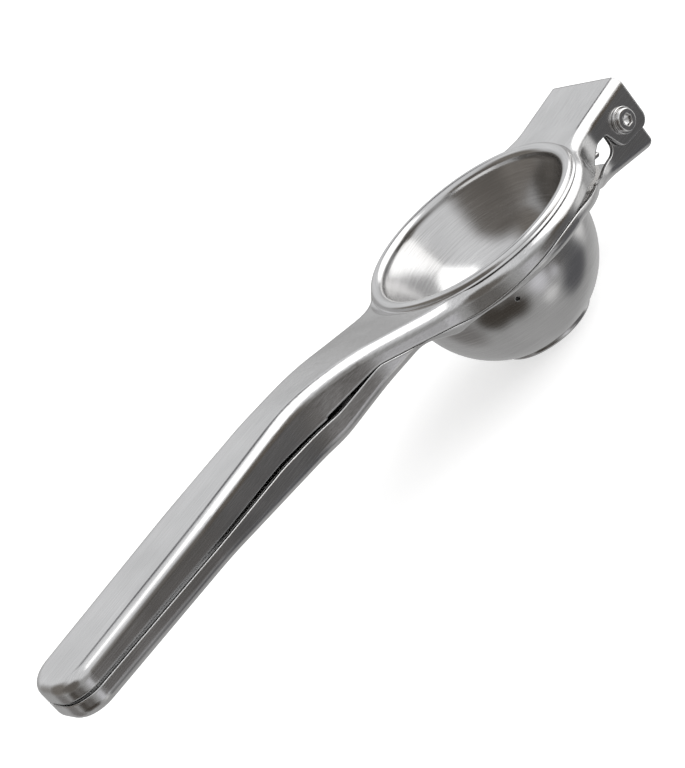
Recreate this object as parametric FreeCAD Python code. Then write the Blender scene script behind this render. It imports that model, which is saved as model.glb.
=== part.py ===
"""Hinged lemon squeezer in pressed stainless steel, closed, standing on the foot of its bowl.

Millimetres. The origin is the middle of the foot, +Z is up and +X points to the hinge.
The hinge turns about an axis along Y, and both handles reach out along -X.
Heights that go with one arm are given from the flat of its ring.
"""
import FreeCAD, Part
import math
import os

V = FreeCAD.Vector

# Sheet
arm_sheet = 1.2
cup_sheet = 0.9
bowl_sheet = 1.0
inner_bend = 2.0

# Strainer bowl and its foot
bowl_radius = 29.9
foot_radius = 15.2
foot_step = 0.4
foot_height = 1.6
bowl_collar = 3.3
bowl_rim_width = 2.5
drain_radius = 1.5
drain_rows = 2
drain_edge = 4.0
vent_radius = 0.7
vent_drop = 1.8
vent_angle = 234.0

# Press cup
opening_step = 1.1
cup_rim_width = 3.6
cup_rim_height = 1.8
cup_wall_gap = 0.5
cup_throat_drop = 7.6
cup_collar_height = 1.2
peel_gap = 7.0
lip_round = 2.0
rim_round = 1.4
collar_round = 2.5
throat_round = 6.0

# Seat drawn round the rim of the cup
seat_round = 2.5
seat_wall = 5.0

# Both arms, seen from above
ring_margin = 2.2
hinge_half_width = 15.7
hinge_fillet = 18.0
shoulder_from_ring = 22.2
shoulder_half_width = 12.8
neck_slope = 0.293
neck_fillet = 24.0
waist_from_shoulder = 24.0
waist_half_width = 9.2
waist_round = 60.0
grip_from_waist = 41.0
grip_half_width = 11.2
grip_round = 150.0
end_from_grip = 59.5
end_flat = 2.4

# Both arms, seen from the side
ring_stack = 9.2
handle_rise = 13.6
hinge_slope = 0.067
hinge_drop = 14.2
strainer_hinge_slope = 0.21
strainer_end_round = 3.2
strainer_end_step = 2.0
notch_before_pivot = 3.9
notch_lip = 0.8
notch_round = 3.0

# Pivot
pivot_from_ring = 16.1
pivot_drop = 8.7
press_ear = 7.9
strainer_ear = 6.2
barrel_radius = 3.0
barrel_bore = 2.0
side_washer = 0.5
inner_washer_radius = 5.0
outer_washer_radius = 4.1
outer_washer = 0.8
screw_head_radius = 3.5
screw_head_height = 1.4
screw_head_round = 0.5
screw_length = 9.0
socket_flats = 3.2
socket_depth = 1.2
socket_tip = 0.8

# Clearances
running_clearance = 0.05
side_clearance = 0.05
seat_clearance = 0.1
meeting_gap = 0.3

# Lengths that only have to reach past the steel
past = 30.0
deep = 120.0

# Sizes that follow from the ones above
bend_radius = inner_bend + arm_sheet
bowl_centre_height = foot_height + math.sqrt(bowl_radius ** 2 - (foot_radius + foot_step) ** 2)
bowl_seat = bowl_centre_height + bowl_collar
bowl_rim_radius = bowl_radius + bowl_rim_width
strainer_underside = bowl_seat - arm_sheet
press_topside = strainer_underside + ring_stack
opening_radius = bowl_radius + opening_step
cup_rim_radius = opening_radius + cup_rim_width
ring_radius = cup_rim_radius + ring_margin
shoulder_reach = ring_radius + shoulder_from_ring
waist_reach = shoulder_reach + waist_from_shoulder
grip_reach = waist_reach + grip_from_waist
handle_reach = grip_reach + end_from_grip
pivot_reach = ring_radius + pivot_from_ring
pivot_height = press_topside - pivot_drop
hinge_reach = pivot_reach + press_ear
strainer_hinge_reach = hinge_reach - strainer_end_step
barrel_half_length = hinge_half_width + 2 * side_clearance
strainer_half_width = hinge_half_width - arm_sheet - side_washer - 2 * side_clearance


def unit(vector):
    """The same direction with a length of one."""
    return vector * (1.0 / vector.Length)


def line(start, end):
    return Part.LineSegment(start, end).toShape()


def rounded_path(corners):
    """Edges through corners given as (point, radius), with a tangent arc at each radius."""
    edges = []
    start = corners[0][0]
    for (before, _), (corner, radius), (after, _) in zip(corners, corners[1:], corners[2:]):
        if radius == 0:
            edges.append(line(start, corner))
            start = corner
            continue
        back = unit(before - corner)
        onward = unit(after - corner)
        half_angle = back.getAngle(onward) / 2
        reach = radius / math.tan(half_angle)
        enter = corner + back * reach
        leave = corner + onward * reach
        crown = corner + unit(back + onward) * (radius / math.sin(half_angle) - radius)
        edges.append(line(start, enter))
        edges.append(Part.Arc(enter, crown, leave).toShape())
        start = leave
    edges.append(line(start, corners[-1][0]))
    return edges


def ring_to_line(point, direction, radius):
    """Arc of a radius that blends the ring into the line through point towards direction.

    Returns the arc's point on the ring, its middle and its point on the line.
    """
    direction = unit(direction)
    normal = V(-direction.y, direction.x, 0)
    if normal.y < 0:
        normal = normal * -1.0
    base = point + normal * radius
    along = base.dot(direction)
    run = -along + math.sqrt(along ** 2 - base.dot(base) + (ring_radius + radius) ** 2)
    centre = base + direction * run
    on_line = point + direction * run
    on_ring = centre * (ring_radius / (ring_radius + radius))
    middle = centre + unit(unit(on_line - centre) + unit(on_ring - centre)) * radius
    return on_ring, middle, on_line


def arm_side(hinge_end, half_width):
    """Plan of one side of an arm, from the hinge plate round the ring to the middle of the end."""
    hinge_corner = V(hinge_end, half_width, 0)
    shoulder = V(-shoulder_reach, shoulder_half_width, 0)
    ring_a, middle_a, line_a = ring_to_line(hinge_corner, V(1, 0, 0), hinge_fillet)
    ring_b, middle_b, line_b = ring_to_line(shoulder, V(-1, -neck_slope, 0), neck_fillet)
    side = [
        line(hinge_corner, line_a),
        Part.Arc(line_a, middle_a, ring_a).toShape(),
        Part.Arc(ring_a, V(0, ring_radius, 0), ring_b).toShape(),
        Part.Arc(ring_b, middle_b, line_b).toShape(),
    ]
    return side + rounded_path([
        (line_b, 0),
        (shoulder, waist_round),
        (V(-waist_reach, waist_half_width, 0), waist_round),
        (V(-grip_reach, grip_half_width, 0), grip_round),
        (V(-handle_reach, grip_half_width, 0), grip_half_width - end_flat),
        (V(-handle_reach, 0, 0), 0),
    ])


def side_path(corners):
    """Edges in the XZ plane through corners given as (x, z, radius)."""
    return rounded_path([(V(x, 0, z), radius) for x, z, radius in corners])


def moved_sideways(edges, axis, distance):
    """Smooth run of lines and arcs moved to its left, as seen with axis pointing at the eye."""
    moved = []
    for edge in edges:
        first = edge.FirstParameter
        last = edge.LastParameter
        points = []
        for place in (first, (first + last) / 2, last):
            points.append(edge.valueAt(place) + axis.cross(edge.tangentAt(place)) * distance)
        if edge.Curve.TypeId == "Part::GeomLine":
            moved.append(line(points[0], points[2]))
        else:
            moved.append(Part.Arc(*points).toShape())
    return moved


def whole_plan(side):
    """Closed wire from the plan of one side and its mirror image."""
    other = [edge.mirror(V(0, 0, 0), V(0, 1, 0)) for edge in side]
    corner = side[0].valueAt(side[0].FirstParameter)
    hinge_edge = line(corner, V(corner.x, -corner.y, 0))
    return Part.Wire(Part.__sortEdges__(side + other + [hinge_edge]))


def side_region(path, closing_height):
    """Face in the XZ plane between a path of edges and a closing height."""
    first = path[0].valueAt(path[0].FirstParameter)
    last = path[-1].valueAt(path[-1].LastParameter)
    close_first = V(first.x, 0, closing_height)
    close_last = V(last.x, 0, closing_height)
    edges = path + [line(last, close_last), line(close_last, close_first)]
    if first.z != closing_height:
        edges.append(line(close_first, first))
    return Part.Face(Part.Wire(edges))


def across(shape):
    """A side line or region drawn out over the whole width."""
    return shape.translated(V(0, -deep / 2, 0)).extrude(V(0, deep, 0))


def upright(shape):
    """A plan drawn out over the whole height."""
    return shape.translated(V(0, 0, -deep)).extrude(V(0, 0, 2 * deep))


def bent_block(plan, path, closing_height, radius):
    """Solid between a plan and a side line, rounded where the plate turns into the flanges."""
    plate = across(Part.Wire(path))
    wall = upright(plan)
    block = upright(Part.Face(plan)).common(across(side_region(path, closing_height)))
    edges = []
    for edge in block.Edges:
        middle = Part.Vertex(edge.valueAt((edge.FirstParameter + edge.LastParameter) / 2))
        on_cut_end = middle.X > block.BoundBox.XMax - 0.01
        on_plate = middle.distToShape(plate)[0] < 0.01
        if on_plate and not on_cut_end and middle.distToShape(wall)[0] < 0.01:
            edges.append(edge)
    return block.makeFillet(radius, edges)


def channel(plate_line, hinge_end, half_width, opens):
    """Outside and inside of a channel bent from one sheet, as two solids.

    opens is -1 where the channel opens downwards and 1 where it opens upwards.
    """
    path = side_path(plate_line)
    inner_path = moved_sideways(path, V(0, 1, 0), opens * arm_sheet)
    inner_side = moved_sideways(arm_side(hinge_end + past / 2, half_width), V(0, 0, 1), arm_sheet)
    outer_plan = whole_plan(arm_side(hinge_end, half_width))
    outside = bent_block(outer_plan, path, opens * deep, bend_radius)
    inside = bent_block(whole_plan(inner_side), inner_path, opens * deep, inner_bend)
    return outside, inside


def bore(radius):
    """Cylinder about the pivot through both arms."""
    return Part.makeCylinder(radius, deep, V(pivot_reach, -deep / 2, pivot_height), V(0, 1, 0))


def ring_hole(radius):
    return Part.makeCylinder(radius, 2 * deep, V(0, 0, -deep))


def drawn_seat(flat_radius, height, inset):
    """Dish with a flat floor and a wall that flares at 45 degrees, moved down and out by inset."""
    corner = flat_radius + (seat_round + inset) * math.tan(math.radians(22.5))
    floor = height - inset
    top = floor + seat_wall + inset
    edges = rounded_path([
        (V(0, 0, floor), 0),
        (V(corner, 0, floor), seat_round + inset),
        (V(corner + top - floor, 0, top), 0),
        (V(0, 0, top), 0),
        (V(0, 0, floor), 0),
    ])
    return turned(edges)


def make_press_arm():
    """Upper arm: channel open downwards, with ears that go outside those of the other arm."""
    top = press_topside
    hinge_turn = ring_radius + 3.5
    hinge_run = hinge_reach + past
    tail = -handle_reach - past
    plate_line = [
        (hinge_run, top + hinge_slope * (hinge_run - hinge_turn), 0),
        (hinge_turn, top, 30.0),
        (-ring_radius + 5.4, top, 60.0),
        (-shoulder_reach - 16.0, top + handle_rise, 130.0),
        (tail, top + handle_rise - 0.8, 0),
    ]
    edge_line = [
        (hinge_reach, deep, 0),
        (hinge_reach, pivot_height - 6.9, 3.4),
        (pivot_reach - 4.9, pivot_height - 5.9, 3.0),
        (pivot_reach - 7.7, top - 7.4, 1.0),
        (ring_radius + 4.2, top - 7.1, 3.0),
        (ring_radius - 5.0, top - 10.3, 3.0),
        (ring_radius - 17.3, top - 4.9, 12.0),
        (0.0, top - 4.6, 60.0),
        (-ring_radius + 7.8, top - 7.6, 14.0),
        (-shoulder_reach + 1.0, top + 2.1, 12.0),
        (-waist_reach + 4.8, top + 2.9, 0),
        (-waist_reach + 4.2, top + 2.4, 0),
        (-waist_reach - 15.0, top + 5.0, 60.0),
        (tail, top + 7.9, 0),
    ]
    outside, inside = channel(plate_line, hinge_reach, hinge_half_width, -1)
    rim = cup_rim_radius + seat_clearance
    outside = outside.cut(drawn_seat(rim, top, 0.0))
    inside = inside.cut(drawn_seat(rim, top, arm_sheet))
    kept = across(side_region(side_path(edge_line), deep))
    arm = outside.cut(inside).common(kept)
    arm = arm.cut(ring_hole(opening_radius + cup_sheet + seat_clearance))
    return arm.cut(bore(barrel_radius + running_clearance))


def make_strainer_arm():
    """Lower arm: channel open upwards, flange edge to flange edge with the press arm."""
    low = strainer_underside
    meet = press_topside - meeting_gap
    end = strainer_hinge_reach
    end_height = low - hinge_drop
    tail = -handle_reach - past
    plate_line = [
        (end + past, end_height - strainer_hinge_slope * past, 0),
        (ring_radius - 2.8, low - 9.0, 8.0),
        (ring_radius - 11.8, low - 3.7, 14.0),
        (ring_radius - 27.8, low, 30.0),
        (-bowl_rim_radius - 2.1, low, 6.0),
        (-ring_radius - 7.0, low + 5.5, 10.0),
        (-waist_reach + 6.0, low + 2.6, 40.0),
        (-grip_reach - 1.0, low + 7.8, 120.0),
        (tail, low + 10.2, 0),
    ]
    edge_line = [
        (end - 2 * strainer_end_round, -deep, 0),
        (end - 2 * strainer_end_round, end_height, 0),
        (end, end_height, strainer_end_round),
        (end, pivot_height + strainer_ear, strainer_end_round),
        (pivot_reach - 6.5, pivot_height + strainer_ear, strainer_end_round),
        (pivot_reach - 7.0, meet - 13.8, 3.0),
        (ring_radius - 3.3, meet - 14.0, 8.0),
        (ring_radius - 12.3, meet - 8.5, 14.0),
        (ring_radius - 28.8, meet - 4.9, 30.0),
        (0.0, meet - 4.6, 60.0),
        (-ring_radius + 7.8, meet - 7.6, 14.0),
        (-shoulder_reach + 1.0, meet + 2.1, 8.0),
        (-waist_reach + 8.0, meet + 1.2, 30.0),
        (-waist_reach - 15.0, meet + 3.7, 60.0),
        (tail, meet + 7.4, 0),
    ]
    outside, inside = channel(plate_line, end, strainer_half_width, 1)
    kept = across(side_region(side_path(edge_line), -deep))
    arm = outside.cut(inside).common(kept)
    arm = arm.cut(ring_hole(bowl_radius + seat_clearance))
    arm = arm.cut(hinge_notch(end))
    return arm.cut(bore(barrel_radius + running_clearance))


def hinge_notch(end):
    """Cut that takes the plate away between the ears, so that the arms can swing wide open."""
    reach = pivot_reach - notch_before_pivot
    half_width = strainer_half_width - bend_radius - notch_lip
    edges = rounded_path([
        (V(end + past, half_width, 0), 0),
        (V(reach, half_width, 0), notch_round),
        (V(reach, -half_width, 0), notch_round),
        (V(end + past, -half_width, 0), 0),
        (V(end + past, half_width, 0), 0),
    ])
    return Part.Face(Part.Wire(edges)).extrude(V(0, 0, pivot_height - inner_washer_radius))


def turned(edges):
    """Solid of revolution about +Z from the edges of a closed half section."""
    section = Part.Face(Part.Wire(Part.__sortEdges__(edges)))
    return section.revolve(V(0, 0, 0), V(0, 0, 1), 360)


def circles_at(solid, point):
    """Edges that run round the axis through a point."""
    found = []
    for edge in solid.Edges:
        start = edge.valueAt(edge.FirstParameter)
        around = abs(math.hypot(start.x, start.y) - point.x) < 1e-4
        if around and abs(start.z - point.z) < 1e-4:
            found.append(edge)
    return found


def make_press_cup():
    """Drawn cup that goes into the bowl. Its rim lies in the drawn seat of the press arm."""
    top = press_topside + cup_rim_height
    collar = opening_radius + cup_sheet
    collar_foot = press_topside - cup_collar_height
    throat_radius = bowl_radius - bowl_sheet - cup_wall_gap - cup_sheet
    throat = V(throat_radius, 0, press_topside - cup_throat_drop)
    under = V(0, 0, bowl_sheet + peel_gap)
    bottom = V(0, 0, under.z + cup_sheet)
    drop = throat.z - bottom.z
    dome_radius = (throat_radius ** 2 + drop ** 2) / (2 * drop)
    centre = V(0, 0, bottom.z + dome_radius)
    slant = unit(unit(throat - centre) + V(0, 0, -1))
    outer_throat = centre + unit(throat - centre) * (dome_radius + cup_sheet)
    edges = rounded_path([
        (V(collar, 0, press_topside), 0),
        (V(cup_rim_radius, 0, press_topside), 0),
        (V(cup_rim_radius, 0, top), rim_round),
        (V(opening_radius, 0, top), lip_round),
        (V(opening_radius, 0, collar_foot), collar_round),
        (throat, 0),
    ])
    edges.append(Part.Arc(throat, centre + slant * dome_radius, bottom).toShape())
    edges.append(line(bottom, under))
    edges.append(Part.Arc(under, centre + slant * (dome_radius + cup_sheet), outer_throat).toShape())
    edges += rounded_path([
        (outer_throat, 0),
        (V(collar, 0, collar_foot), collar_round),
        (V(collar, 0, press_topside), 0),
    ])
    cup = turned(edges)
    cup = cup.makeFillet(throat_round, circles_at(cup, throat))
    return cup.makeFillet(throat_round, circles_at(cup, outer_throat))


def bowl_section():
    """Closed half section of the bowl: stepped foot, round wall, straight collar and rim."""
    inner_radius = bowl_radius - bowl_sheet
    floor_corner = foot_radius - bowl_sheet
    inner_shoulder_drop = math.sqrt(inner_radius ** 2 - floor_corner ** 2)
    centre = V(0, 0, bowl_centre_height)
    slant = unit(V(1, 0, -1))
    shoulder = V(foot_radius + foot_step, 0, foot_height)
    inner_shoulder = V(floor_corner, 0, centre.z - inner_shoulder_drop)
    side = V(bowl_radius, 0, centre.z)
    inner_side = V(inner_radius, 0, centre.z)
    rim_top = bowl_seat + bowl_sheet
    edges = rounded_path([
        (V(0, 0, 0), 0),
        (V(foot_radius, 0, 0), bowl_sheet),
        (V(foot_radius, 0, foot_height), 0),
        (shoulder, 0),
    ])
    edges.append(Part.Arc(shoulder, centre + slant * bowl_radius, side).toShape())
    edges += rounded_path([
        (side, 0),
        (V(bowl_radius, 0, bowl_seat), 0),
        (V(bowl_rim_radius, 0, bowl_seat), 0),
        (V(bowl_rim_radius, 0, rim_top), bowl_sheet / 2),
        (V(inner_radius, 0, rim_top), bowl_sheet),
        (inner_side, 0),
    ])
    edges.append(Part.Arc(inner_side, centre + slant * inner_radius, inner_shoulder).toShape())
    edges += rounded_path([
        (inner_shoulder, 0),
        (V(floor_corner, 0, bowl_sheet), 0),
        (V(0, 0, bowl_sheet), 0),
        (V(0, 0, 0), 0),
    ])
    return edges


def drain_holes():
    """Rows of six, twelve and so on round the middle of the foot, which stays plain."""
    pitch = (foot_radius - bowl_sheet - drain_edge) / drain_rows
    places = []
    for row in range(1, drain_rows + 1):
        for index in range(6 * row):
            angle = 2 * math.pi * index / (6 * row)
            places.append(V(row * pitch * math.cos(angle), row * pitch * math.sin(angle), -bowl_sheet))
    return [Part.makeCylinder(drain_radius, 3 * bowl_sheet, place) for place in places]


def make_strainer_bowl():
    """Drawn bowl hung by its rim in the strainer arm, with a pressed foot that drains."""
    bowl = turned(bowl_section())
    angle = math.radians(vent_angle)
    outwards = V(math.cos(angle), math.sin(angle), 0)
    start = V(0, 0, bowl_centre_height - vent_drop) + outwards * foot_radius
    vent = Part.makeCylinder(vent_radius, bowl_radius, start, outwards)
    return bowl.cut(drain_holes() + [vent])


def disc_across(radius, start, end, hole=0.0):
    """Disc about the pivot from one place along Y to another, with a hole where one is given."""
    place = V(pivot_reach, start, pivot_height)
    disc = Part.makeCylinder(radius, end - start, place, V(0, 1, 0))
    if hole > 0:
        disc = disc.cut(Part.makeCylinder(hole, end - start, place, V(0, 1, 0)))
    return disc


def other_side(shape):
    return shape.mirror(V(0, 0, 0), V(0, 1, 0))


def make_pivot_screw():
    """Screw of the far side: round head with a hexagon socket, and its shank in the barrel."""
    seat = barrel_half_length + outer_washer
    face = seat + screw_head_height
    head = disc_across(screw_head_radius, seat, face)
    rim = [edge for edge in head.Edges if abs(edge.CenterOfMass.y - face) < 1e-6]
    head = head.makeFillet(screw_head_round, rim)
    corner = socket_flats / math.sqrt(3)
    points = []
    for index in range(7):
        angle = math.pi / 3 * index
        across_x = corner * math.cos(angle)
        across_z = corner * math.sin(angle)
        points.append(V(pivot_reach + across_x, face, pivot_height + across_z))
    socket = Part.Face(Part.makePolygon(points)).extrude(V(0, -socket_depth, 0))
    floor = face - socket_depth
    tip_foot = V(pivot_reach, floor - socket_tip, pivot_height)
    tip = Part.makeCone(0, socket_flats / 2, socket_tip, tip_foot, V(0, 1, 0))
    shank = disc_across(barrel_bore - running_clearance, seat - screw_length, seat)
    return head.fuse(shank).removeSplitter().cut(socket.fuse(tip))


def make_parts():
    reach = barrel_half_length
    screw = make_pivot_screw()
    outer = disc_across(outer_washer_radius, reach, reach + outer_washer, barrel_bore + running_clearance)
    start = strainer_half_width + side_clearance
    inner = disc_across(inner_washer_radius, start, start + side_washer, barrel_radius + running_clearance)
    return {
        "press_arm": make_press_arm(),
        "press_cup": make_press_cup(),
        "strainer_arm": make_strainer_arm(),
        "strainer_bowl": make_strainer_bowl(),
        "pivot_barrel": disc_across(barrel_radius, -reach, reach, barrel_bore),
        "pivot_screw_far": screw,
        "pivot_screw_near": other_side(screw),
        "outer_washer_far": outer,
        "outer_washer_near": other_side(outer),
        "inner_washer_far": inner,
        "inner_washer_near": other_side(inner),
    }


os.makedirs("parts", exist_ok=True)
for name, shape in make_parts().items():
    if not shape.isValid():
        raise ValueError(name + " is not a valid solid")
    print(name, len(shape.Solids), round(shape.Volume, 1), len(shape.Faces))
    shape.exportStep("parts/" + name + ".step")
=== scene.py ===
"""Studio scene of a hinged lemon squeezer: satin steel arms, drawn cup and bowl, screwed pivot."""
import math

import bpy
from bpy.props import FloatProperty, FloatVectorProperty, PointerProperty
from bpy.types import Operator, Panel, PropertyGroup
from mathutils import Matrix, Vector


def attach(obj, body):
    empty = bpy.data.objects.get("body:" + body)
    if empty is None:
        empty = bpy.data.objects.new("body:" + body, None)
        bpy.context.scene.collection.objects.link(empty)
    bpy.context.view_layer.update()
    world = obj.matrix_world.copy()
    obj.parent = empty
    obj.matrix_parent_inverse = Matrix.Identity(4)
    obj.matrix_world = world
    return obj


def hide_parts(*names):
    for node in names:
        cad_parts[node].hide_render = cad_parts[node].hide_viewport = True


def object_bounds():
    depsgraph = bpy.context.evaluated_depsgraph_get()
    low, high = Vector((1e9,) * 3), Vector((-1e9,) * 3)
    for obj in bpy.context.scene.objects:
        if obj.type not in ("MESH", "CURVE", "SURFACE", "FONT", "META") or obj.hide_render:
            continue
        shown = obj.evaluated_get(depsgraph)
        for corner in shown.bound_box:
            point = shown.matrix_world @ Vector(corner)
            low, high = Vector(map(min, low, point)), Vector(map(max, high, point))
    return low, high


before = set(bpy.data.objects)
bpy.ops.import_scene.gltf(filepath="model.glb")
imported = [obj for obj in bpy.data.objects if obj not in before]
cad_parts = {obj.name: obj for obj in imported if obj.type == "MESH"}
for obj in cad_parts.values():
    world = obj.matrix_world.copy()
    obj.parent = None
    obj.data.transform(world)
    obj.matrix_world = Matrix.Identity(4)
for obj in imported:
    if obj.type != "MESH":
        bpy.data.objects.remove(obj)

bl_info = {
    "name": "Lemon Squeezer Studio",
    "version": (1, 0, 0),
    "blender": (4, 5, 0),
    "location": "View3D > Sidebar > Squeezer",
    "description": "Finishes a hinged lemon squeezer in satin steel and sets it in a pale studio",
    "category": "Object",
}

MM = 0.001
CAD_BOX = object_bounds()
WHITE = (1.0, 1.0, 1.0, 1.0)
MIRRORED_RAYS = ("Is Glossy Ray", "Is Transmission Ray")
SEEN_RAYS = ("Is Camera Ray", *MIRRORED_RAYS)

# Sockets of a Mix node that mixes colours
MIX_FIRST = 6
MIX_SECOND = 7
MIX_RESULT = 2

# The brushing: how many times longer than wide a stroke is along the arms, how far the pattern runs
# in one turn round the cup or bowl, what keeps the radius above nought there, and its fineness
STROKE_STRETCH = 60.0
STROKE_TURNS = 2.5
AXIS_GUARD = 1e-8
STROKE_DETAIL = 3.0
STROKE_ROUGHNESS = 0.6
# Where the brushing goes from the shade to the colour of the steel
STROKE_STOPS = [(0.3, 0.0), (0.7, 1.0)]
# The faint smears: patches to a metre, their fineness and how much they darken
SMEAR_SCALE = 55.0
SMEAR_DETAIL = 2.0
SMEAR_STOPS = [(0.38, 0.90), (0.62, 1.0)]
# How far the brushing and the smears change the roughness, and its limits
STROKE_BLUR = 0.10
SMEAR_BLUR = 0.12
ROUGHNESS_MIN = 0.05
ROUGHNESS_MAX = 0.9
EDGE_SAMPLES = 8

# How finely the cup is turned, which points of it are one, and which edges stay smooth
CUP_SIDES = 160
MERGE_DISTANCE = 1e-7
SMOOTH_ANGLE = math.radians(35.0)

FLOOR_SIZE = 8.0
FLOOR_GAP = 0.05 * MM
SENSOR_WIDTH = 36.0
CLIP_START = 0.01
CLIP_END = 20.0

# The soft lamp: its turn from +X and height in degrees, its distance, and its width and height
LAMP_TURN = 341.0
LAMP_HEIGHT = 37.0
LAMP_DISTANCE = 1.4
LAMP_SIZE = (2.2, 1.9)

# Where the low room ends and the high room starts, from straight down (0) to straight up (1)
LOW_ROOM_END = 0.53
HIGH_ROOM_START = 0.70
# What else the steel mirrors of the room. A patch has a direction (turn from +X and height), two
# angles from it, within which the patch is full and where it ends, all in degrees, and a colour. A
# later patch lies over an earlier one
ROOM_PATCHES = {
    "back left": (150, 22, 25, 45, (0.25, 0.23, 0.21)),
    "dark front": (205, 13, 27, 40, (0.18, 0.165, 0.15)),
    "gap over the back": (52, 50, 9, 15, (0.15, 0.15, 0.16)),
    "low side": (30, -36, 8, 24, (0.60, 0.60, 0.60)),
    "under the lamp": (342, -19, 10, 18, (1.00, 1.00, 1.00)),
    "low back": (145, -31, 12, 24, (0.27, 0.26, 0.255)),
    "low left": (192, -34, 12, 20, (0.08, 0.07, 0.06)),
    "low front left": (221, -37, 10, 20, (0.07, 0.06, 0.05)),
    "low end": (320, -46, 14, 23, (0.14, 0.14, 0.15)),
    "upper streak": (260, -31, 4, 13, (0.95, 0.95, 1.00)),
    "lower streak": (270, -52, 4, 10, (1.00, 1.00, 1.00)),
    "low middle": (289, -22, 11, 18, (0.145, 0.135, 0.125)),
    "low front": (310, -24, 7, 20, (0.15, 0.15, 0.155)),
    "side streak": (283, -33, 2.5, 7, (0.90, 0.90, 0.95)),
    "front": (303, 1, 12, 22, (0.13, 0.11, 0.09)),
}

# In what each finish differs from the plain steel
LOOK_VALUES = {
    "squeezer_arm_steel": {"roughness": 0.20, "stroke_depth": 0.000008, "edge_radius": 0.0008},
    "squeezer_cup_steel": {"roughness": 0.20},
    "squeezer_bowl_steel": {"roughness": 0.20, "stroke_width": 0.0003},
    "squeezer_pivot_steel": {
        "roughness": 0.10, "stroke_depth": 0.000002, "colour": (0.80, 0.79, 0.78),
        "edge_radius": 0.0006,
    },
}


class Value:
    """A number or colour that a material's nodes work out, so that it can stand in a sum."""

    def __init__(self, board, socket):
        self.board = board
        self.socket = socket

    def math(self, operation, first, second):
        return self.board.node("ShaderNodeMath", {"operation": operation}, {0: first, 1: second})

    def __add__(self, other):
        return self.math("ADD", self, other)

    def __radd__(self, other):
        return self.math("ADD", other, self)

    def __sub__(self, other):
        return self.math("SUBTRACT", self, other)

    def __rsub__(self, other):
        return self.math("SUBTRACT", other, self)

    def __mul__(self, other):
        return self.math("MULTIPLY", self, other)

    def __rmul__(self, other):
        return self.math("MULTIPLY", other, self)

    def __truediv__(self, other):
        return self.math("DIVIDE", self, other)

    def __pow__(self, other):
        return self.math("POWER", self, other)


class Board:
    """The node board of a material or of the world."""

    def __init__(self, owner):
        owner.use_nodes = True
        self.owner = owner
        self.tree = owner.node_tree
        self.tree.nodes.clear()

    def node(self, kind, settings=None, inputs=None, output=0):
        made = self.tree.nodes.new(kind)
        for name, value in (settings or {}).items():
            if name == "stops":
                self.fill_ramp(made.color_ramp, value)
            else:
                setattr(made, name, value)
        for name, value in (inputs or {}).items():
            if isinstance(value, Value):
                self.tree.links.new(value.socket, made.inputs[name])
            else:
                made.inputs[name].default_value = value
        return Value(self, made.outputs[output]) if made.outputs else None

    @staticmethod
    def fill_ramp(ramp, stops):
        """Gives a ramp its stops, each a place from 0 to 1 and a grey or a colour."""
        while len(ramp.elements) < len(stops):
            ramp.elements.new(0.5)
        for element, (place, tone) in zip(ramp.elements, stops):
            element.position = place
            element.color = (*tone, 1.0) if isinstance(tone, tuple) else (tone, tone, tone, 1.0)

    def place(self, kind="Object"):
        """The coordinates of the point that is shaded."""
        return self.node("ShaderNodeTexCoord", output=kind)

    def parts_of(self, vector):
        """The x, y and z of a vector."""
        separated = self.node("ShaderNodeSeparateXYZ", {}, {"Vector": vector})
        outputs = separated.socket.node.outputs
        return [Value(self, outputs[axis]) for axis in range(3)]

    def vector(self, x, y, z):
        return self.node("ShaderNodeCombineXYZ", {}, {0: x, 1: y, 2: z})

    def dot(self, vector, direction):
        """How far a vector points along a direction."""
        settings = {"operation": "DOT_PRODUCT"}
        inputs = {0: vector, 1: direction}
        return self.node("ShaderNodeVectorMath", settings, inputs, output="Value")

    def rays(self, *names):
        """One on rays of these kinds, else nought."""
        path = self.node("ShaderNodeLightPath")
        share = 0.0
        for name in names:
            share = Value(self, path.socket.node.outputs[name]) + share
        return self.node("ShaderNodeClamp", {}, {"Value": share})

    def noise(self, vector, scale, detail, roughness=0.5):
        inputs = {"Vector": vector, "Scale": scale, "Detail": detail, "Roughness": roughness}
        return self.node("ShaderNodeTexNoise", {}, inputs)

    def ramp(self, value, stops):
        return self.node("ShaderNodeValToRGB", {"stops": stops}, {"Fac": value})

    def mix_colours(self, share, first, second, blend="MIX"):
        settings = {"data_type": "RGBA", "blend_type": blend}
        inputs = {"Factor": share, MIX_FIRST: first, MIX_SECOND: second}
        return self.node("ShaderNodeMix", settings, inputs, output=MIX_RESULT)


class SteelLook(PropertyGroup):
    """Finish of one kind of steel surface."""

    colour: FloatVectorProperty(
        name="Colour", description="Colour of the bare steel", subtype="COLOR",
        size=3, min=0.0, max=1.0, default=(0.63, 0.625, 0.62),
    )
    shade: FloatVectorProperty(
        name="Shade", description="Colour in the darker strokes of the brushing", subtype="COLOR",
        size=3, min=0.0, max=1.0, default=(0.53, 0.525, 0.52),
    )
    roughness: FloatProperty(
        name="Roughness", description="Blur of what the steel mirrors", min=0.0, max=1.0,
        default=0.26,
    )
    stroke_width: FloatProperty(
        name="Stroke width", description="Width of a brush stroke", unit="LENGTH", min=0.0,
        default=0.00035, precision=5,
    )
    stroke_depth: FloatProperty(
        name="Stroke depth", description="Depth of the brushing", unit="LENGTH", min=0.0,
        default=0.000006, precision=7,
    )
    edge_radius: FloatProperty(
        name="Edge radius", description="Softening of the cut edges", unit="LENGTH", min=0.0,
        default=0.00025, precision=5,
    )


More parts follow.
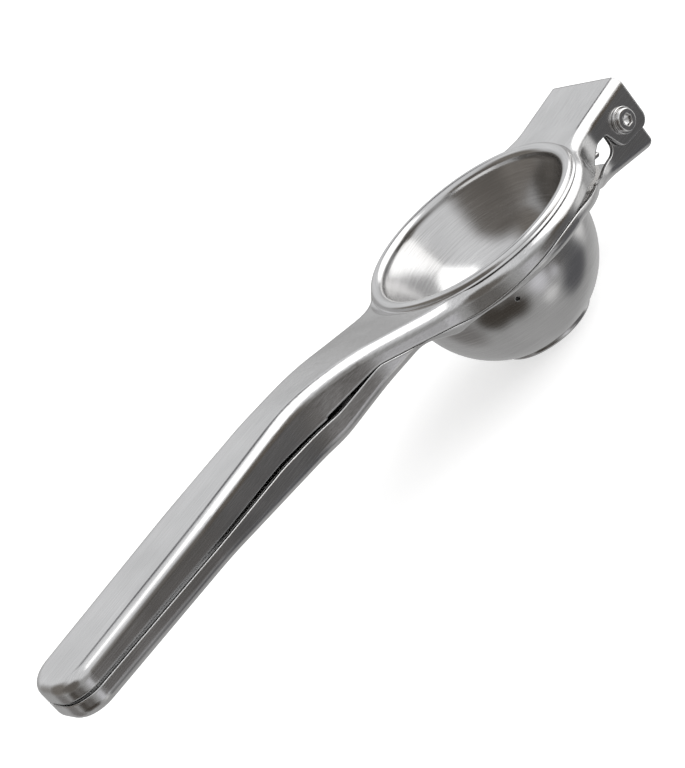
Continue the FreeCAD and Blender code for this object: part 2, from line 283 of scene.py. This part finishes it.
class StudioSettings(PropertyGroup):
    """Camera, floor, room and lamp."""

    camera_place: FloatVectorProperty(
        name="Camera place", description="Where the camera stands", subtype="TRANSLATION",
        unit="LENGTH", size=3, default=(-0.3449, -0.5522, 0.3012),
    )
    camera_azimuth: FloatProperty(
        name="Azimuth", description="Turn of the camera round the upright axis", subtype="ANGLE",
        default=math.radians(-27.0),
    )
    camera_elevation: FloatProperty(
        name="Elevation", description="Height of the camera above the horizon", subtype="ANGLE",
        default=math.radians(22.916),
    )
    camera_roll: FloatProperty(
        name="Roll", description="Tilt of the picture", subtype="ANGLE",
        default=math.radians(-40.005),
    )
    lens: FloatProperty(
        name="Lens", description="Focal length of the camera in millimetres", min=1.0,
        default=115.57,
    )
    floor_colour: FloatVectorProperty(
        name="Floor", description="Colour of the floor", subtype="COLOR",
        size=3, min=0.0, max=1.0, default=(0.86, 0.86, 0.86),
    )
    floor_glow: FloatProperty(
        name="Floor glow", description="What brings the pale floor up to white", min=0.0,
        default=0.58,
    )
    back_colour: FloatVectorProperty(
        name="High room", description="Colour that the steel mirrors from above",
        subtype="COLOR", size=3, min=0.0, max=1.0, default=(0.97, 0.98, 1.0),
    )
    low_colour: FloatVectorProperty(
        name="Low room", description="Colour that the steel mirrors from below the horizon",
        subtype="COLOR", size=3, min=0.0, max=1.0, default=(0.50, 0.50, 0.50),
    )
    world_strength: FloatProperty(
        name="Room light", description="Light from all round", min=0.0, default=0.5,
    )
    key_strength: FloatProperty(
        name="Soft lamp", description="Brightness of the soft lamp's face", min=0.0, default=1.35,
    )


def set_looks(scene):
    """Gives each finish the values in which it differs from the plain steel."""
    for group, values in LOOK_VALUES.items():
        look = getattr(scene, group)
        for name, value in values.items():
            setattr(look, name, value)


def nothing_selected():
    """Leaves object mode with nothing selected, as the cup and the stage start."""
    if bpy.context.object and bpy.context.object.mode != "OBJECT":
        bpy.ops.object.mode_set(mode="OBJECT")
    bpy.ops.object.select_all(action="DESELECT")


def strokes_along_arm(board, width):
    """Straight brushing along X, 0 to 1."""
    x, y, z = board.parts_of(board.place())
    fine = 1.0 / width
    coarse = fine / STROKE_STRETCH
    stretched = board.vector(x * coarse, y * fine, z * fine)
    return board.noise(stretched, 1.0, STROKE_DETAIL, STROKE_ROUGHNESS)


def strokes_round_axis(board, width):
    """Brushing that runs round the upright axis of the cup or bowl, 0 to 1."""
    x, y, z = board.parts_of(board.place())
    radius = (x * x + y * y + AXIS_GUARD) ** 0.5
    across = (radius + z) * (1.0 / width)
    stretched = board.vector(x / radius * STROKE_TURNS, y / radius * STROKE_TURNS, across)
    return board.noise(stretched, 1.0, STROKE_DETAIL, STROKE_ROUGHNESS)


def brushed_steel(name, look, strokes):
    """Satin steel with brushing in its colour, gloss and relief, and faint smears over it."""
    material = bpy.data.materials.new(name)
    board = Board(material)
    grain = strokes(board, look.stroke_width)
    smear = board.noise(board.place(), SMEAR_SCALE, SMEAR_DETAIL)
    streak = board.ramp(grain, STROKE_STOPS)
    colour = board.mix_colours(streak, (*look.shade, 1.0), (*look.colour, 1.0))
    colour = board.mix_colours(1.0, colour, board.ramp(smear, SMEAR_STOPS), "MULTIPLY")
    blur = look.roughness + (grain - 0.5) * STROKE_BLUR + (smear - 0.5) * SMEAR_BLUR
    rough = board.node(
        "ShaderNodeClamp", {}, {"Value": blur, "Min": ROUGHNESS_MIN, "Max": ROUGHNESS_MAX},
    )
    edges = board.node("ShaderNodeBevel", {"samples": EDGE_SAMPLES}, {"Radius": look.edge_radius})
    relief = board.node(
        "ShaderNodeBump", {},
        {"Strength": 1.0, "Distance": look.stroke_depth, "Height": grain, "Normal": edges},
    )
    surface = board.node(
        "ShaderNodeBsdfPrincipled", {},
        {"Base Color": colour, "Metallic": 1.0, "Roughness": rough, "Normal": relief},
    )
    board.node("ShaderNodeOutputMaterial", {}, {"Surface": surface})
    return material


def give_material(node, material):
    """Gives its material to a piece that comes from model.glb."""
    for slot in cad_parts[node].material_slots:
        slot.material = material


class SQUEEZER_OT_arms(Operator):
    """Finish the two pressed arms"""

    bl_idname = "squeezer.arms"
    bl_label = "Arms"

    def execute(self, context):
        look = context.scene.squeezer_arm_steel
        material = brushed_steel("arm satin steel", look, strokes_along_arm)
        for node in ("press_arm", "strainer_arm"):
            give_material(node, material)
        return {"FINISHED"}


def arc(centre, radius, start, end, steps):
    """Points of an arc in the half section, from one angle to another, in degrees."""
    across, up = centre
    points = []
    for step in range(steps + 1):
        angle = math.radians(start + (end - start) * step / steps)
        points.append((across + radius * math.cos(angle), up + radius * math.sin(angle)))
    return points


def cup_section():
    """Half section of the cup in mm: up its inside, over the rolled rim and down its outside."""
    # The sheet, the radii of the opening and of the rim, and the heights of the rim and the plate
    sheet, opening, rim, top, plate = 0.9, 31.0, 35.3, 40.2, 38.42
    # The radii of the inner lip, of the rolled rim and of the flare from it to the plate
    lip, roll, flare = 2.0, 1.15, 0.75
    # The dome's centre and inner radius, and the angles at its pole and where the wall leaves it
    centre, dome, pole, slant = (0.0, 37.08), 28.18, -89.5, -23.35
    # How far the flare's centre is outside the rim, how thick the rim ends, and how deep it beds
    beyond, thin, bed = 0.05, 0.03, 0.01
    inside_wall = [(28.2, 31.305), (30.4, 36.4), (30.72, 37.1), (30.93, 37.7)]
    outside_wall = [(opening + sheet, 37.4), (31.226, 36.043)]

    inside = arc(centre, dome, pole, slant, 30) + inside_wall
    inside += arc((opening + lip, top - lip), lip, 180.0, 90.0, 8)
    crest = rim - flare - roll + beyond
    outside = arc((crest, top - roll), roll, 90.0, 8.0, 8)
    outside += arc((rim + beyond, plate + flare + thin), flare, 180.0, 262.0, 7)
    outside += [(rim, plate - bed), (opening + sheet, plate - bed)] + outside_wall
    outside += arc(centre, dome + sheet, slant, pole, 24)
    return inside + outside


def turned_shell(name, section, sides):
    """Closed shell round the upright axis: a ring drawn out and sized along a section in mm."""
    nothing_selected()
    radius, height = section[0]
    bpy.ops.mesh.primitive_circle_add(
        vertices=sides, radius=radius * MM, fill_type="NGON", location=(0.0, 0.0, height * MM),
    )
    shell = bpy.context.object
    shell.name = name
    bpy.ops.object.transform_apply(location=True, rotation=True, scale=True)
    bpy.ops.object.mode_set(mode="EDIT")
    bpy.ops.mesh.select_all(action="SELECT")
    for (radius, height), (next_radius, next_height) in zip(section, section[1:]):
        bpy.ops.mesh.extrude_region_move(
            TRANSFORM_OT_translate={"value": (0.0, 0.0, (next_height - height) * MM)},
        )
        share = next_radius / radius
        bpy.ops.transform.resize(value=(share, share, 1.0), center_override=(0.0, 0.0, 0.0))
    bpy.ops.mesh.select_all(action="SELECT")
    bpy.ops.mesh.remove_doubles(threshold=MERGE_DISTANCE)
    bpy.ops.mesh.normals_make_consistent(inside=False)
    bpy.ops.object.mode_set(mode="OBJECT")
    bpy.ops.object.shade_smooth_by_angle(angle=SMOOTH_ANGLE)
    return shell


class SQUEEZER_OT_cup(Operator):
    """Draw the press cup and finish it"""

    bl_idname = "squeezer.cup"
    bl_label = "Press cup"

    def execute(self, context):
        look = context.scene.squeezer_cup_steel
        cup = turned_shell("drawn_press_cup", cup_section(), CUP_SIDES)
        cup.data.materials.append(brushed_steel("cup satin steel", look, strokes_round_axis))
        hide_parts("press_cup")
        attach(cup, "press_side")
        return {"FINISHED"}


class SQUEEZER_OT_bowl(Operator):
    """Finish the drawn strainer bowl"""

    bl_idname = "squeezer.bowl"
    bl_label = "Strainer bowl"

    def execute(self, context):
        look = context.scene.squeezer_bowl_steel
        material = brushed_steel("bowl satin steel", look, strokes_round_axis)
        give_material("strainer_bowl", material)
        return {"FINISHED"}


class SQUEEZER_OT_pivot(Operator):
    """Finish the barrel, screws and washers of the pivot"""

    bl_idname = "squeezer.pivot"
    bl_label = "Pivot"

    def execute(self, context):
        look = context.scene.squeezer_pivot_steel
        material = brushed_steel("pivot bright steel", look, strokes_along_arm)
        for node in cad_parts:
            if node.startswith(("pivot_", "outer_", "inner_")):
                give_material(node, material)
        return {"FINISHED"}


def direction(turn, height):
    """The direction at a turn from +X and a height above the horizon, in degrees."""
    turn, height = math.radians(turn), math.radians(height)
    level = math.cos(height)
    return Vector((level * math.cos(turn), level * math.sin(turn), math.sin(height)))


def make_world(settings):
    """Pale room. The steel mirrors it as light above and dimmer below, with patches in it, and the
    camera sees it white."""
    world = bpy.data.worlds.new("pale room")
    bpy.context.scene.world = world
    board = Board(world)
    toward = board.place("Generated")
    height = board.dot(toward, (0.0, 0.0, 1.0)) * 0.5 + 0.5
    tone = board.ramp(height, [
        (LOW_ROOM_END, tuple(settings.low_colour)),
        (HIGH_ROOM_START, tuple(settings.back_colour)),
    ])
    for turn, rise, full, edge, colour in ROOM_PATCHES.values():
        near = board.dot(toward, direction(turn, rise))
        starts, fills = math.cos(math.radians(edge)), math.cos(math.radians(full))
        share = board.ramp(near, [(starts, 0.0), (fills, 1.0)])
        tone = board.mix_colours(share, tone, (*colour, 1.0))
    tone = board.mix_colours(board.rays(*MIRRORED_RAYS), WHITE, tone)
    unlit = 1.0 - settings.world_strength
    strength = settings.world_strength + board.rays(*SEEN_RAYS) * unlit
    lamp = board.node("ShaderNodeBackground", {}, {"Color": tone, "Strength": strength})
    board.node("ShaderNodeOutputWorld", {}, {"Surface": lamp})


def make_floor(settings):
    """Pale floor under the foot, which the steel doesn't mirror. A glow where it is seen brings it
    up to white and keeps the shadow."""
    nothing_selected()
    bpy.ops.mesh.primitive_plane_add(size=FLOOR_SIZE, location=(0.0, 0.0, CAD_BOX[0].z - FLOOR_GAP))
    floor = bpy.context.object
    floor.name = "studio_floor"
    board = Board(bpy.data.materials.new("pale floor"))
    matt = board.node("ShaderNodeBsdfDiffuse", {}, {"Color": (*settings.floor_colour, 1.0)})
    strength = board.rays(*SEEN_RAYS) * settings.floor_glow
    glow = board.node("ShaderNodeEmission", {}, {"Strength": strength})
    both = board.node("ShaderNodeAddShader", {}, {0: matt, 1: glow})
    board.node("ShaderNodeOutputMaterial", {}, {"Surface": both})
    floor.data.materials.append(board.owner)
    floor.visible_glossy = False


def soft_lamp(name, turn, height, distance, size, strength):
    """Lamp that faces the squeezer. strength is the brightness of its face."""
    toward = direction(turn, height)
    bpy.ops.object.light_add(type="AREA", location=toward * distance)
    lamp = bpy.context.object
    lamp.name = name
    lamp.data.shape = "RECTANGLE"
    width, height = size
    lamp.data.size, lamp.data.size_y = width, height
    lamp.data.energy = strength * math.pi * width * height
    lamp.rotation_euler = (-toward).to_track_quat("-Z", "Y").to_euler()


def make_camera(settings):
    """Camera at the place, turn and tilt of the picture."""
    azimuth = settings.camera_azimuth
    elevation = settings.camera_elevation
    roll = settings.camera_roll
    back = Vector((
        math.sin(azimuth) * math.cos(elevation),
        -math.cos(azimuth) * math.cos(elevation),
        math.sin(elevation),
    ))
    level = Vector((0.0, 0.0, 1.0)).cross(back).normalized()
    upright = back.cross(level)
    right = level * math.cos(roll) + upright * math.sin(roll)
    up = upright * math.cos(roll) - level * math.sin(roll)
    turn = Matrix((right, up, back)).transposed()
    bpy.ops.object.camera_add()
    camera = bpy.context.object
    camera.name = "studio_camera"
    camera.matrix_world = Matrix.Translation(settings.camera_place) @ turn.to_4x4()
    camera.data.lens = settings.lens
    camera.data.sensor_width = SENSOR_WIDTH
    camera.data.clip_start = CLIP_START
    camera.data.clip_end = CLIP_END
    bpy.context.scene.camera = camera


class SQUEEZER_OT_stage(Operator):
    """Set up the room, the floor, the lamp and the camera"""

    bl_idname = "squeezer.stage"
    bl_label = "Stage"

    def execute(self, context):
        settings = context.scene.squeezer_studio
        nothing_selected()
        make_world(settings)
        make_floor(settings)
        soft_lamp(
            "soft lamp", LAMP_TURN, LAMP_HEIGHT, LAMP_DISTANCE, LAMP_SIZE, settings.key_strength,
        )
        make_camera(settings)
        context.scene.view_settings.view_transform = "Standard"
        return {"FINISHED"}


class SQUEEZER_PT_panel(Panel):
    """Lists the pieces and their finishes"""

    bl_idname = "SQUEEZER_PT_panel"
    bl_label = "Lemon Squeezer"
    bl_space_type = "VIEW_3D"
    bl_region_type = "UI"
    bl_category = "Squeezer"

    def draw(self, context):
        for operator in OPERATORS:
            self.layout.operator(operator.bl_idname)
        for group in LOOK_VALUES:
            look = getattr(context.scene, group)
            for name in look.__annotations__:
                self.layout.prop(look, name)
        studio = context.scene.squeezer_studio
        for name in studio.__annotations__:
            self.layout.prop(studio, name)


OPERATORS = (
    SQUEEZER_OT_arms, SQUEEZER_OT_cup, SQUEEZER_OT_bowl, SQUEEZER_OT_pivot, SQUEEZER_OT_stage,
)
CLASSES = (SteelLook, StudioSettings, *OPERATORS, SQUEEZER_PT_panel)


def register():
    for kind in CLASSES:
        bpy.utils.register_class(kind)
    for name in LOOK_VALUES:
        setattr(bpy.types.Scene, name, PointerProperty(type=SteelLook))
    bpy.types.Scene.squeezer_studio = PointerProperty(type=StudioSettings)


def unregister():
    del bpy.types.Scene.squeezer_studio
    for name in LOOK_VALUES:
        delattr(bpy.types.Scene, name)
    for kind in reversed(CLASSES):
        bpy.utils.unregister_class(kind)


def main():
    register()
    set_looks(bpy.context.scene)
    bpy.ops.squeezer.arms()
    bpy.ops.squeezer.cup()
    bpy.ops.squeezer.bowl()
    bpy.ops.squeezer.pivot()
    bpy.ops.squeezer.stage()


if __name__ == "__main__":
    main()
